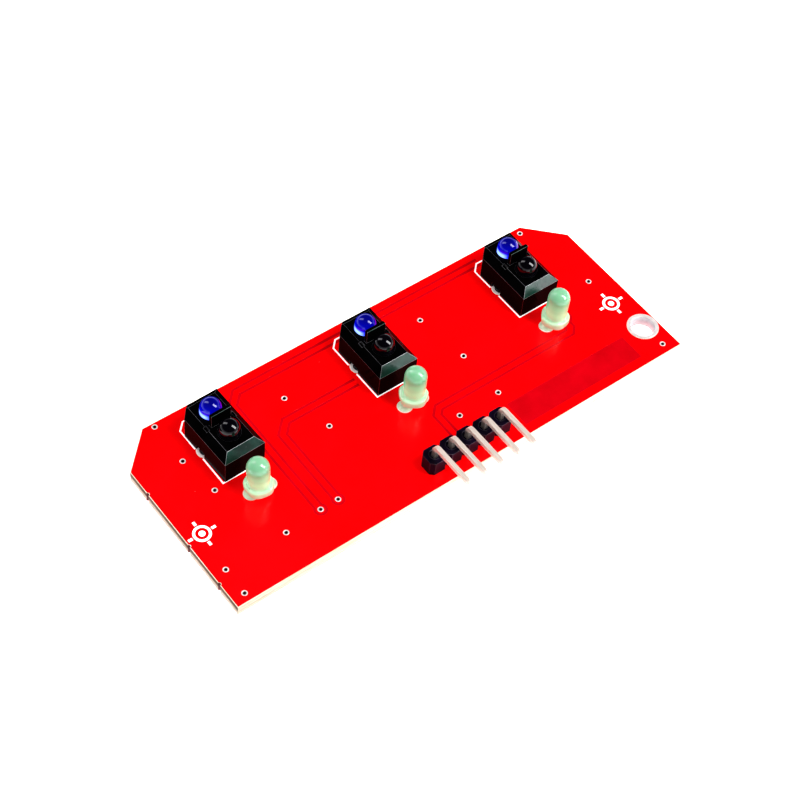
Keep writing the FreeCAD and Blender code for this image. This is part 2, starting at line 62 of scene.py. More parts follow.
def islands(node):
    """Centre and size of each separate solid of a CAD node."""
    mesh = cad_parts[node].data
    parent = list(range(len(mesh.vertices)))

    def root(i):
        while parent[i] != i:
            parent[i] = parent[parent[i]]
            i = parent[i]
        return i

    seen = {}
    for v in mesh.vertices:
        key = tuple(round(c, 7) for c in v.co)
        parent[root(v.index)] = root(seen.setdefault(key, v.index))
    for e in mesh.edges:
        parent[root(e.vertices[0])] = root(e.vertices[1])
    groups = {}
    for v in mesh.vertices:
        groups.setdefault(root(v.index), []).append(v.co)
    found = []
    for points in groups.values():
        low = Vector([min(p[i] for p in points) for i in range(3)])
        high = Vector([max(p[i] for p in points) for i in range(3)])
        found.append(((low + high) / 2, high - low))
    return sorted(found, key=lambda f: (round(f[0].x, 5), round(f[0].y, 5), round(f[0].z, 5)))


def on_board(points):
    """Points given in millimetres from the middle of the board."""
    return [(x * MM, MID_Y + y * MM) for x, y in points]


vias = islands("via_plating")
lead_holes = islands("lead_hole_plating")
peg_holes = islands("peg_hole_rings")
screw_hole = centre("mounting_hole_rings")
SENSOR_X = [centre(c + "_sensor_housing").x for c in CHANNELS]


# ------------------------------------------------------------------ small node-graph helpers
def material(name, base, rough, metallic=0.0, **sockets):
    """A new material, its node tree and its shader. Further sockets are named with underscores."""
    m = bpy.data.materials.new(name)
    m.use_nodes = True
    bsdf = m.node_tree.nodes["Principled BSDF"]
    bsdf.inputs["Base Color"].default_value = (*base, 1)
    bsdf.inputs["Roughness"].default_value = rough
    bsdf.inputs["Metallic"].default_value = metallic
    for key, value in sockets.items():
        bsdf.inputs[key.replace("_", " ")].default_value = value
    return m, m.node_tree, bsdf


def add(tree, kind, inputs=None, **props):
    """A new node. Each input is given a value, or is linked when the value is another node's output."""
    node = tree.nodes.new(kind)
    for key, value in props.items():
        setattr(node, key, value)
    for key, value in (inputs or {}).items():
        if isinstance(value, bpy.types.NodeSocket):
            tree.links.new(value, node.inputs[key])
        else:
            node.inputs[key].default_value = value
    return node


def coords(tree, scale=(1, 1, 1)):
    own = add(tree, "ShaderNodeTexCoord").outputs["Object"]
    return add(tree, "ShaderNodeMapping", {"Vector": own, "Scale": scale}).outputs["Vector"]


def noise(tree, scale, detail, rough=0.5, stretch=(1, 1, 1)):
    n = add(tree, "ShaderNodeTexNoise", {"Vector": coords(tree, stretch), "Scale": scale, "Detail": detail,
                                         "Roughness": rough})
    return n.outputs["Fac"]


def axis_value(tree, axis, low, high):
    """0 where the object's own X, Y or Z is at low, 1 where it is at high."""
    split = add(tree, "ShaderNodeSeparateXYZ", {"Vector": coords(tree)})
    r = add(tree, "ShaderNodeMapRange", {"Value": split.outputs[axis], "From Min": low, "From Max": high})
    return r.outputs["Result"]


def ramp(tree, fac, stops):
    """A colour ramp through (place, colour) stops."""
    r = add(tree, "ShaderNodeValToRGB", {"Fac": fac})
    marks = r.color_ramp.elements
    while len(marks) < len(stops):
        marks.new(0.5)
    for mark, (position, colour) in zip(marks, stops):
        mark.position = position
        mark.color = (*colour, 1)
    return r.outputs["Color"]


def span(tree, fac, low, high):
    """The 0 to 1 of fac, spread from low to high."""
    r = add(tree, "ShaderNodeMapRange", {"Value": fac, "To Min": low, "To Max": high})
    return r.outputs["Result"]


def bump(tree, height, distance, strength, normal=None):
    inputs = {"Height": height, "Distance": distance, "Strength": strength}
    if normal is not None:
        inputs["Normal"] = normal
    return add(tree, "ShaderNodeBump", inputs).outputs["Normal"]


def mix(tree, fac, a, b, mode="MIX"):
    """Colours a and b mixed. Sockets 0, 6 and 7 of the node are its factor and its two colours."""
    n = add(tree, "ShaderNodeMix", data_type="RGBA", blend_type=mode)
    for socket, value in ((n.inputs[0], fac), (n.inputs[6], a), (n.inputs[7], b)):
        if isinstance(value, bpy.types.NodeSocket):
            tree.links.new(value, socket)
        else:
            socket.default_value = (*value, 1) if isinstance(value, tuple) else value
    return n.outputs[2]


def wire(tree, out, bsdf, socket):
    tree.links.new(out, bsdf.inputs[socket])


# ------------------------------------------------------------------ materials
LENS_SHADING = (7.4 * MM, 9.8 * MM)     # heights between which a sensor lens changes shade
PIN_BEND = (6.55 * MM, 7.05 * MM)       # heights between which a pin goes from painted shade to its own bright colour


def mask_material():
    """Red solder mask over copper: saturated, glossy, a touch uneven, with a few pale specks of dust."""
    m, t, b = material("red_mask", (0.85, 0.0, 0.0), 0.2, Specular_IOR_Level=0.3)
    cloudy = ramp(t, noise(t, 160, 5, 0.6), [(0.3, (0.86, 0.0, 0.003)), (0.7, (0.98, 0.001, 0.006))])
    specks = ramp(t, noise(t, 1300, 2, 0.6), [(0.80, (0, 0, 0)), (0.84, (1, 1, 1))])
    wire(t, mix(t, specks, cloudy, (0.95, 0.25, 0.2)), b, "Base Color")
    wire(t, span(t, noise(t, 420, 4), 0.15, 0.25), b, "Roughness")
    fine = bump(t, noise(t, 1500, 3), 0.000003, 0.35)
    wire(t, bump(t, noise(t, 260, 2), 0.00001, 0.2, fine), b, "Normal")
    return m


def bare_mask_material():
    """Mask straight on the laminate, where there is no copper under it: a darker red over the glass weave."""
    m, t, b = material("red_mask_on_laminate", (0.5, 0, 0), 0.22, Specular_IOR_Level=0.4)
    shades = [(0.3, (0.48, 0.0, 0.009)), (0.7, (0.58, 0.0, 0.013))]
    wire(t, ramp(t, noise(t, 300, 4, 0.6), shades), b, "Base Color")
    threads = [add(t, "ShaderNodeTexWave", {"Vector": coords(t), "Scale": 500, "Distortion": 1.5},
                   bands_direction=d).outputs["Color"] for d in "XY"]
    wire(t, bump(t, mix(t, 0.5, *threads), 0.000008, 0.4), b, "Normal")
    return m


def laminate_material():
    """Routed glass-fibre laminate: stacked plies of pale resin, and brownish fibre ends."""
    m, t, b = material("laminate_edge", (0.7, 0.62, 0.42), 0.6)
    plies = noise(t, 300, 3, 0.6, stretch=(0.6, 0.6, 22))
    fibres = noise(t, 5200, 3, 0.7)
    base = ramp(t, plies, [(0.35, (0.70, 0.60, 0.42)), (0.5, (0.84, 0.78, 0.64)), (0.65, (0.92, 0.88, 0.78))])
    wire(t, mix(t, span(t, fibres, 0.0, 0.5), base, (0.60, 0.48, 0.34)), b, "Base Color")
    wire(t, bump(t, mix(t, 0.5, plies, fibres), 0.00004, 0.5), b, "Normal")
    return m


def snapped_material():
    """The short edge that was snapped off its panel, coloured by height: a thin pale pink line at the top, a
    dark brown band of torn fibres darkened with painted shade, pale resin below.
    """
    m, t, b = material("laminate_snapped_painted_shade", (0.4, 0.3, 0.2), 0.75)
    ragged = mix(t, 0.12, axis_value(t, "Z", BOARD_UNDER, BOARD_TOP), noise(t, 1400, 4, 0.7))
    # The dark band is partly painted shade on this side, which faces away from the light.
    bands = ramp(t, ragged, [(0.18, (0.80, 0.74, 0.64)), (0.42, (0.66, 0.56, 0.46)),
                             (0.62, (0.17, 0.11, 0.08)), (0.86, (0.21, 0.14, 0.10)),
                             (0.93, (0.85, 0.62, 0.56))])
    fibres = noise(t, 5200, 3, 0.7, stretch=(1, 0.25, 1))
    wire(t, mix(t, span(t, fibres, 0.0, 0.5), bands, (0.14, 0.09, 0.06)), b, "Base Color")
    wire(t, bump(t, fibres, 0.00008, 0.7), b, "Normal")
    return m


def silk_material():
    """White screen-printed ink, a little uneven, with a faint painted glow that keeps it white in shade."""
    m, t, b = material("white_ink_painted_glow", (0.95, 0.92, 0.92), 0.5, Emission_Strength=0.18)
    b.inputs["Emission Color"].default_value = (1.0, 0.93, 0.95, 1)
    shades = [(0.3, (0.90, 0.84, 0.85)), (0.6, (1.0, 0.98, 0.98))]
    wire(t, ramp(t, noise(t, 2600, 4, 0.7), shades), b, "Base Color")
    wire(t, bump(t, noise(t, 4000, 3), 0.00001, 0.5), b, "Normal")
    return m


def tin_material(name, tint, rough, lumps, metallic=1.0):
    """Tin or solder: cloudy, with soft lumps."""
    m, t, b = material(name, tint, 0.25, metallic)
    cloudy = noise(t, 1400, 5, 0.6)
    wire(t, ramp(t, cloudy, [(0.3, tuple(c * 0.78 for c in tint)), (0.65, tint)]), b, "Base Color")
    wire(t, span(t, noise(t, 3200, 3), *rough), b, "Roughness")
    wire(t, bump(t, noise(t, 900, 3), lumps, 0.5), b, "Normal")
    return m


def pin_material():
    """Tin over brass: cream where the plating is thin, matt along the drawn wire, and darkened below the
    bend, a painted shade.
    """
    m, t, b = material("header_pin_metal", (0.85, 0.74, 0.64), 0.3, 0.35)
    drawn = noise(t, 1500, 4, 0.6, stretch=(6, 0.4, 6))
    clean = ramp(t, drawn, [(0.3, (0.65, 0.55, 0.49)), (0.7, (0.83, 0.73, 0.67))])
    # Painted shade: the pin's colour is darkened below the bend.
    dull = ramp(t, axis_value(t, "Z", *PIN_BEND), [(0.0, (0.30, 0.31, 0.32)), (1.0, (1.0, 1.0, 1.0))])
    wire(t, mix(t, 1.0, clean, dull, "MULTIPLY"), b, "Base Color")
    wire(t, span(t, noise(t, 2600, 3), 0.26, 0.42), b, "Roughness")
    wire(t, bump(t, drawn, 0.00001, 0.4), b, "Normal")
    return m


def moulded_black(name, base, rough, grain=0.000006, tint=(1.0, 1.0, 1.15), gloss=0.5, **sockets):
    """Moulded black plastic: faint flow clouding and a very fine mould grain."""
    m, t, b = material(name, (base, base, base), 0.2, Specular_IOR_Level=gloss, **sockets)
    dark = tuple(base * 0.6 * c for c in tint)
    light = tuple(base * 1.6 * c for c in tint)
    wire(t, ramp(t, noise(t, 500, 4), [(0.35, dark), (0.7, light)]), b, "Base Color")
    wire(t, span(t, noise(t, 1100, 4, 0.6), *rough), b, "Roughness")
    fine = bump(t, noise(t, 7000, 2), grain, 0.4)
    wire(t, bump(t, noise(t, 380, 2), 0.00002, 0.25, fine), b, "Normal")
    return m


def lens_epoxy(name, shades, painted_glow=None):
    """Cast lens epoxy, its colour painted by height as light and shade: dark in the dome, lit brighter
    towards the foot. With painted_glow, it also gives off a painted glow, brightest in a painted crescent low
    on the side that faces left."""
    m, t, b = material(name, (1, 1, 1), 0.03, IOR=1.54, Coat_Weight=0.2, Coat_IOR=1.5)
    level = mix(t, 0.06, axis_value(t, "Z", *LENS_SHADING), noise(t, 700, 2))
    # Painted light and shade: the colour runs from bright at the foot to dark in the dome.
    wire(t, ramp(t, level, shades), b, "Base Color")
    wire(t, bump(t, noise(t, 500, 2), 0.00001, 0.2), b, "Normal")
    if painted_glow:
        # Painted glow, brightest in a painted crescent low on the left-facing side.
        b.inputs["Emission Strength"].default_value = 1.0
        normal = add(t, "ShaderNodeNewGeometry").outputs["Normal"]
        facing = add(t, "ShaderNodeSeparateXYZ", {"Vector": normal}).outputs["X"]
        leftward = add(t, "ShaderNodeMapRange", {"Value": facing, "From Min": -0.62, "From Max": -0.92})
        low = ramp(t, level, [(0.10, (0, 0, 0)), (0.20, (1, 1, 1)), (0.34, (1, 1, 1)), (0.50, (0, 0, 0))])
        painted_crescent = mix(t, 1.0, low, leftward.outputs["Result"], "MULTIPLY")
        wire(t, mix(t, painted_crescent, ramp(t, level, painted_glow), (0.45, 0.65, 1.0)), b, "Emission Color")
    return m


def milky_epoxy(low, high):
    """Diffusing green epoxy, its colour set by height: pale and yellower at the flange, darker green low on
    the dome, minty at the top. It also gives off a painted glow, strongest in the barrel.
    """
    m, t, b = material("led_epoxy_painted_glow", (0.4, 0.7, 0.45), 0.12, Transmission_Weight=0.08, IOR=1.5,
                       Coat_Weight=0.5, Subsurface_Weight=0.8, Subsurface_Radius=(0.5, 1.0, 0.7),
                       Subsurface_Scale=0.0015, Emission_Strength=1.0)
    level = mix(t, 0.10, axis_value(t, "Z", low, high), noise(t, 900, 3))
    shades = [(0.05, (0.50, 0.54, 0.42)), (0.40, (0.36, 0.56, 0.36)), (0.50, (0.26, 0.42, 0.26)),
              (0.62, (0.20, 0.42, 0.26)), (1.0, (0.26, 0.46, 0.32))]
    # Painted glow, set by height.
    painted_glow = [(0.05, (0.10, 0.13, 0.10)), (0.25, (0.12, 0.25, 0.16)), (0.45, (0.16, 0.33, 0.21)),
            (0.62, (0.13, 0.28, 0.18)), (0.80, (0.03, 0.06, 0.04))]
    wire(t, ramp(t, level, shades), b, "Base Color")
    wire(t, ramp(t, level, painted_glow), b, "Emission Color")
    wire(t, span(t, noise(t, 700, 3), 0.05, 0.14), b, "Roughness")
    wire(t, bump(t, noise(t, 600, 3), 0.00002, 0.25), b, "Normal")
    return m


def painted_green_solder_material():
    """Solder and flux round an LED lead, painted green as a painted reflection of the LED body, with a faint
    painted glow.
    """
    m, t, b = material("led_foot_solder_painted_green", (0.6, 0.8, 0.55), 0.35, 0.2, Subsurface_Weight=0.3,
                       Subsurface_Radius=(0.8, 1.0, 0.8), Subsurface_Scale=0.0006, Emission_Strength=0.15)
    shades = ramp(t, noise(t, 1600, 4, 0.6), [(0.3, (0.42, 0.54, 0.40)), (0.7, (0.62, 0.74, 0.57))])
    wire(t, shades, b, "Base Color")
    wire(t, shades, b, "Emission Color")
    wire(t, bump(t, noise(t, 1100, 3), 0.00005, 0.5), b, "Normal")
    return m


def ceramic_material(name, dark, light, rough=(0.35, 0.5)):
    """A dull mottled surface, between two shades."""
    m, t, b = material(name, light, 0.4)
    wire(t, ramp(t, noise(t, 1500, 5, 0.65), [(0.35, dark), (0.65, light)]), b, "Base Color")
    wire(t, span(t, noise(t, 2500, 3), *rough), b, "Roughness")
    wire(t, bump(t, noise(t, 5000, 3), 0.00001, 0.5), b, "Normal")
    return m


MASK = mask_material()
BARE = bare_mask_material()
LAMINATE = laminate_material()
SNAPPED = snapped_material()
INK = silk_material()
TIN = tin_material("tin_plate", (0.95, 0.89, 0.88), (0.34, 0.52), 0.00004, 0.45)
# Painted shade: a dark tin for the inside of the plated holes and of the bites in the left edge.
HOLE_TIN_PAINTED_SHADE = tin_material("tin_in_the_hole_painted_shade", (0.16, 0.06, 0.06), (0.5, 0.7), 0.00004, 0.3)
SOLDER = tin_material("solder_shine", (0.82, 0.81, 0.80), (0.16, 0.34), 0.00005)
LEAD = tin_material("tinned_wire", (0.80, 0.76, 0.68), (0.18, 0.32), 0.00002)
PIN = pin_material()
HOUSING = moulded_black("sensor_black", 0.002, (0.12, 0.20), gloss=0.03)
# Lighter copies of the sensor black that paint light on it: a painted green reflection of the LEDs on the
# front bevel, and painted highlights on the rounded edges, brightest along the front edge and the fin top.
BEVEL = moulded_black("sensor_black_bevel_painted_reflection", 0.026, (0.14, 0.34), 0.00002, (0.15, 1.3, 0.95), 0.4)
EDGE = moulded_black("sensor_black_edge_painted_highlight", 0.06, (0.24, 0.36), gloss=1.0,
                     Coat_Weight=1.0, Coat_Roughness=0.2)
PAINTED_FRONT_HIGHLIGHT = moulded_black("sensor_black_front_edge_painted_highlight", 0.3, (0.2, 0.3), tint=(0.95, 1.0, 1.05), gloss=1.0)
CELL = moulded_black("header_black", 0.009, (0.24, 0.36), 0.000012, (1.1, 0.6, 2.0), 0.14)
# Painted highlight: the header's rounded edges are a lighter copy of its black.
CELL_PAINTED_HIGHLIGHT = moulded_black("header_black_edge_painted_highlight", 0.09, (0.20, 0.30), 0.000012, (1.1, 0.95, 1.2), 1.0)
CHIP = moulded_black("chip_black", 0.014, (0.40, 0.55), 0.00002, (1, 1, 1))
# The blue lens: painted light by height, and a painted glow with a painted crescent.
BLUE = lens_epoxy("emitter_blue_painted_glow", [(0.15, (0.1, 0.3, 1.0)), (0.30, (0.01, 0.05, 0.8)),
                                   (0.5, (0.003, 0.006, 0.30)), (1.0, (0.003, 0.003, 0.10))],
                  painted_glow=[(0.1, (0.01, 0.03, 0.9)), (0.35, (0.0, 0.0, 0.80)), (0.6, (0.0, 0.0, 0.30)),
                        (1.0, (0.0, 0.0, 0.06))])
DARK = lens_epoxy("detector_dark", [(0.1, (0.01, 0.008, 0.014)), (0.6, (0.003, 0.002, 0.005))])
SOLDER_PAINTED_GREEN = painted_green_solder_material()
RESIN = ceramic_material("resin_in_the_hole", (0.50, 0.49, 0.52), (0.64, 0.63, 0.66))
ALUMINA = ceramic_material("resistor_ceramic", (0.72, 0.70, 0.66), (0.86, 0.85, 0.82))
GLAZE = ceramic_material("resistor_glaze", (0.006, 0.007, 0.010), (0.02, 0.022, 0.028), (0.2, 0.32))
TAN = ceramic_material("capacitor_ceramic", (0.36, 0.24, 0.13), (0.47, 0.33, 0.20))


# ------------------------------------------------------------------ mesh helpers
def mesh_object(name, bm, mats, smooth=None):
    """Turns bm into an object. With smooth, its edges are sharp only beyond that many degrees."""
    mesh = bpy.data.meshes.new(name)
    bmesh.ops.recalc_face_normals(bm, faces=bm.faces[:])
    bm.to_mesh(mesh)
    bm.free()
    for m in (mats if isinstance(mats, (list, tuple)) else [mats]):
        mesh.materials.append(m)
    obj = bpy.data.objects.new(name, mesh)
    scene.collection.objects.link(obj)
    if smooth is not None:
        smooth_mesh(mesh, smooth)
    return obj


def smooth_mesh(mesh, angle):
    for p in mesh.polygons:
        p.use_smooth = True
    mesh.set_sharp_from_angle(angle=math.radians(angle))


def place(obj, slot, *replaces):
    """Every piece rides on the one body. It may stand in for a CAD node."""
    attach(obj, "root")
    if replaces:
        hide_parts(*replaces)
    return obj


WELD, PLATE_WELD = 1e-6, 1e-7   # points closer than this become one
ROUNDED_FROM = 28               # degrees between two faces from which their edge is rounded


def softened(node, name, mats, slot, width, segments=2, clamp=True):
    """A copy of a CAD node with its edges rounded, as a mould or a die leaves them. The last of several
    materials is for the rounded edges. Clamping keeps the rounding from overlapping itself, but it narrows
    every edge to suit the shortest one."""
    bm = bmesh.new()
    bm.from_mesh(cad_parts[node].data)
    bmesh.ops.remove_doubles(bm, verts=bm.verts[:], dist=WELD)
    bmesh.ops.dissolve_limit(bm, angle_limit=math.radians(1.0), verts=bm.verts[:], edges=bm.edges[:])
    obj = mesh_object(name, bm, mats)
    mod = obj.modifiers.new("edges", "BEVEL")
    mod.width = width
    mod.segments = segments
    mod.limit_method = "ANGLE"
    mod.use_clamp_overlap = clamp
    mod.angle_limit = math.radians(ROUNDED_FROM)
    mod.material = len(obj.data.materials) - 1
    bpy.context.view_layer.objects.active = obj
    smooth_mesh(obj.data, 60)
    bpy.ops.object.modifier_apply(modifier=mod.name)
    smooth_mesh(obj.data, 50)
    flats = obj.modifiers.new("flats", "WEIGHTED_NORMAL")
    flats.weight = 100
    flats.keep_sharp = True
    bpy.ops.object.modifier_apply(modifier=flats.name)
    return place(obj, slot, node)


def lathe(bm, profile, origin, steps, closed=False):
    """Revolves (radius, height) points about a vertical line through origin."""
    rings = []
    for r, h in profile:
        turns = steps if r > 1e-9 else 1
        rings.append([bm.verts.new(origin + Vector((r * math.cos(a), r * math.sin(a), h)))
                      for a in (2 * math.pi * i / turns for i in range(turns))])
    pairs = list(zip(rings, rings[1:]))
    if closed:
        pairs.append((rings[-1], rings[0]))
    for one, two in pairs:
        for i in range(steps):
            j = (i + 1) % steps
            corners = [one[i % len(one)], one[j % len(one)], two[j % len(two)], two[i % len(two)]]
            corners = [v for k, v in enumerate(corners) if v not in corners[:k]]
            if len(corners) > 2:
                bm.faces.new(corners)


def arc(cx, cz, r, start, end, steps):
    """Points of a profile along an arc, angles in degrees from the outward direction."""
    angles = [math.radians(start + (end - start) * i / steps) for i in range(steps + 1)]
    return [(cx + r * math.cos(a), cz + r * math.sin(a)) for a in angles]


def plate(name, loops, low, high, mats):
    """A flat sheet from low to high: the first loop is its outline, loops inside it are holes, and loops
    inside those are islands."""
    curve = bpy.data.curves.new(name, "CURVE")
    curve.dimensions = "2D"
    curve.fill_mode = "BOTH"
    curve.extrude = (high - low) / 2
    for loop in loops:
        spline = curve.splines.new("POLY")
        spline.points.add(len(loop) - 1)
        for point, (x, y) in zip(spline.points, loop):
            point.co = (x, y, 0, 1)
        spline.use_cyclic_u = True
    source = bpy.data.objects.new(name + "_curve", curve)
    scene.collection.objects.link(source)
    bpy.context.view_layer.update()
    mesh = bpy.data.meshes.new_from_object(source.evaluated_get(bpy.context.evaluated_depsgraph_get()))
    bpy.data.objects.remove(source)
    bm = bmesh.new()
    bm.from_mesh(mesh)
    bpy.data.meshes.remove(mesh)
    bmesh.ops.translate(bm, verts=bm.verts[:], vec=(0, 0, (low + high) / 2))
    bmesh.ops.remove_doubles(bm, verts=bm.verts[:], dist=PLATE_WELD)
    return mesh_object(name, bm, mats)


def circle(x, y, r, steps=28):
    angles = [2 * math.pi * i / steps for i in range(steps)]
    return [(x + r * math.cos(a), y + r * math.sin(a)) for a in angles]


def offset(path, distance):
    """The path moved sideways, mitred at its corners."""
    pts = [Vector(p) for p in path]
    moved = []
    for i, p in enumerate(pts):
        ways = []
        if i:
            ways.append((p - pts[i - 1]).normalized())
        if i < len(pts) - 1:
            ways.append((pts[i + 1] - p).normalized())
        along = sum(ways, Vector((0, 0))).normalized()
        side = Vector((-along.y, along.x))
        moved.append(p + side * distance / max(0.3, along.dot(ways[0])))
    return [tuple(p) for p in moved]


def ribbon(path, width):
    """Closed loop round an open path."""
    return offset(path, width / 2) + offset(path, -width / 2)[::-1]


# ------------------------------------------------------------------ the bare board
CORNER_CUT = 4.6 * MM
EDGE_SHOW = 0.09 * MM           # laminate left bare round the mask
COPPER_STEP = 0.03 * MM         # how far the mask stands up over copper
COPPER_SHY = 0.06 * MM          # how far the copper stops inside the edge of the mask
BARE_MASK = 0.006 * MM          # thickness of the mask where there is no copper under it
INK_STEP = 0.012 * MM           # thickness of the white ink
MASK_CLEAR = 0.06 * MM          # mask opening round each pad
BARREL = 0.05 * MM              # wall of a plated hole
BITE_YS = [MID_Y + d * MM for d in (5.15, -3.6, -9.8)]
BITE_DEPTH, BITE_HALF = 0.19 * MM, 0.22 * MM
SCREW_R = 1.6 * MM
PAD_R_SCREW = (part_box("mounting_hole_rings")[1].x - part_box("mounting_hole_rings")[0].x) / 2
VIA_HOLE, VIA_OPENING, PEG_HOLE = 0.21 * MM, 0.38 * MM, 0.75 * MM       # radii
HOLE_BY_PAD = ((0.72, 0.40), (0.85, 0.50), (0.95, 0.47))    # pad and hole radii of soldered leads, in mm


def outline(inset):
    """The board's outline: square in front, cut corners at the back, three snap-off bites on the left."""
    x0, x1, y0, y1 = LEFT + inset, RIGHT - inset, FRONT + inset, BACK - inset
    cut = CORNER_CUT - inset * (2 - math.sqrt(2))
    loop = [(x0, y0), (x1, y0), (x1, y1 - cut), (x1 - cut, y1), (x0 + cut, y1), (x0, y1 - cut)]
    for y in BITE_YS:
        loop += [(x0 + BITE_DEPTH * math.sin(a), y + BITE_HALF * math.cos(a))
                 for a in (math.pi * i / 8 for i in range(9))]
    return loop


def drilled(grow):
    """The holes for every plated part, as circles."""
    loops = [circle(c.x, c.y, VIA_OPENING, 24) for c, s in vias]
    loops += [circle(c.x, c.y, s.x / 2 + grow) for c, s in lead_holes + peg_holes]
    loops.append(circle(screw_hole.x, screw_hole.y, PAD_R_SCREW + grow, 64))
    return loops


def lead_hole_radius(pad_r):
    """The hole that goes with the pad nearest to this size."""
    return min(HOLE_BY_PAD, key=lambda pair: abs(pair[0] * MM - pad_r))[1] * MM


def bores():
    """The holes through the laminate itself."""
    loops = [circle(c.x, c.y, VIA_HOLE + BARREL, 16) for c, s in vias]
    loops += [circle(c.x, c.y, lead_hole_radius(s.x / 2) + BARREL, 24) for c, s in lead_holes]
    loops += [circle(c.x, c.y, PEG_HOLE + BARREL) for c, s in peg_holes]
    loops.append(circle(screw_hole.x, screw_hole.y, SCREW_R, 64))
    return loops


def build_board():
    """The laminate, whose wall differs in the screw hole, in the bites, which are painted shade, and along
    the snapped edge, whose dark band is partly painted shade; and the thin mask that lies straight on it."""
    top, under = BOARD_TOP - COPPER_STEP, BOARD_UNDER + COPPER_STEP
    mats = [LAMINATE, SNAPPED, HOLE_TIN_PAINTED_SHADE, RESIN]
    core = plate("board_laminate", [outline(0)] + bores(), under, top, mats)
    for p in core.data.polygons:
        if (p.center.xy - screw_hole.xy).length < SCREW_R * 1.01:
            p.material_index = mats.index(RESIN)
        # The bites take the dark hole tin as painted shade; the rest of the left edge takes the snapped
        # material, partly painted shade.
        if p.center.x < LEFT + BITE_DEPTH * 1.2 and abs(p.normal.z) < 0.5:
            in_bite = p.center.x > LEFT + BITE_DEPTH * 0.05
            p.material_index = mats.index(HOLE_TIN_PAINTED_SHADE if in_bite else SNAPPED)
    place(core, "board_mask", "circuit_board")
    loops = [outline(EDGE_SHOW)] + drilled(MASK_CLEAR)
    for name, low, high in (("bare_mask_top", top, top + BARE_MASK),
                            ("bare_mask_under", under - BARE_MASK, under)):
        place(plate(name, loops, low, high, BARE), "board_mask")


# Three tracks on the top face, each from the middle of its first pad, with the radius at which the gap in the
# copper flood goes round that pad. The flood stands off on both sides of each track.
TRACK_WIDTH, TRACK_GAP = 0.62 * MM, 0.36 * MM
TRACKS = (
    (0.72, [(-18.7, -8.05), (-18.7, 10.2), (-17.1, 11.78), (21.1, 11.78)]),
    (0.72, [(-16.15, -8.05), (-16.15, 3.3), (-14.6, 4.8), (-3.9, 4.8)]),
    (1.27, [(24.13, -1.6), (24.13, -3.40), (23.48, -4.05), (2.15, -4.05), (1.27, -4.93), (1.27, -9.35)]),
)
NO_COPPER = [(9.4, -12.2), (28.6, -12.2), (28.6, -8.4), (9.4, -8.4)]


def hairpin(path, start_reach, turns=18):
    """One narrow gap that runs up one side of a track, round its first pad and down the other side."""
    away = TRACK_WIDTH / 2 + TRACK_GAP / 2
    start = Vector(path[0])
    along = (Vector(path[1]) - start).normalized()
    left, right = offset(path, away), offset(path, -away)
    sweep = math.asin(away / start_reach)
    heading = math.atan2(along.y, along.x)
    bend = [tuple(start + start_reach * Vector((math.cos(a), math.sin(a))))
            for a in (heading + sweep + (2 * math.pi - 2 * sweep) * i / turns for i in range(turns + 1))]
    return left[:0:-1] + bend + right[1:]


def flood_gaps():
    """The loops of bare laminate round the tracks."""
    return [ribbon(hairpin(on_board(path), reach * MM), TRACK_GAP) for reach, path in TRACKS]


def build_copper():
    """The mask where it is lifted by the copper flood, which covers the board except for the gaps by the
    tracks and one bare window on the top face."""
    flood = [outline(EDGE_SHOW + COPPER_SHY)] + drilled(MASK_CLEAR)
    pierced = flood + flood_gaps() + [on_board(NO_COPPER)]
    place(plate("mask_over_copper_top", pierced, BOARD_TOP - COPPER_STEP, BOARD_TOP, MASK), "board_mask")
    place(plate("mask_over_copper_under", flood, BOARD_UNDER, BOARD_UNDER + COPPER_STEP, MASK), "board_mask")


# The printed outline round each sensor, in millimetres as in on_board.
SILK_HALF_X, SILK_FRONT, SILK_BACK, SILK_CUT, SILK_WIDTH = 3.03, 1.47, 11.67, 1.0, 0.22
SILK_BREAK = (5.75, 7.45)       # where the outline stops for the peg-hole rings
MARKS = (("left", (-32.0, -3.0)), ("right", (31.1, -3.4)))      # side and place of each fiducial


def build_silk():
    """The printed outline of each sensor, and a fiducial at each end."""
    low, high = BOARD_TOP, BOARD_TOP + INK_STEP
    for channel, x in zip(CHANNELS, SENSOR_X):
        left, right = x / MM - SILK_HALF_X, x / MM + SILK_HALF_X
        front = [(right, SILK_BREAK[0]), (right, SILK_FRONT), (left, SILK_FRONT), (left, SILK_BREAK[0])]
        back = [(left, SILK_BREAK[1]), (left, SILK_BACK - SILK_CUT), (left + SILK_CUT, SILK_BACK),
                (right, SILK_BACK), (right, SILK_BREAK[1])]
        loops = [ribbon(on_board(path), SILK_WIDTH * MM) for path in (front, back)]
        place(plate(channel + "_sensor_outline_ink", loops, low, high, INK), "board_mask")
    for side, at in MARKS:
        place(registration_mark(side, at, low, high), "board_mask")


def registration_mark(side, at, low, high):
    """A plain round fiducial: a ring with a dot in it and four ticks round it, from gap to reach."""
    x, y = on_board([at])[0]
    ring, bar, dot, gap, reach, half = (v * MM for v in (1.15, 0.36, 0.42, 0.16, 1.9, 0.19))
    loops = [circle(x, y, ring, 48), circle(x, y, ring - bar, 48), circle(x, y, dot, 32)]
    for turn in range(4):
        c, s = round(math.cos(turn * math.pi / 2)), round(math.sin(turn * math.pi / 2))
        tick = [(ring + gap, -half), (reach, -half), (reach, half), (ring + gap, half)]
        loops.append([(x + c * u - s * v, y + s * u + c * v) for u, v in tick])
    return plate(side + "_fiducial_ink", loops, low, high, INK)


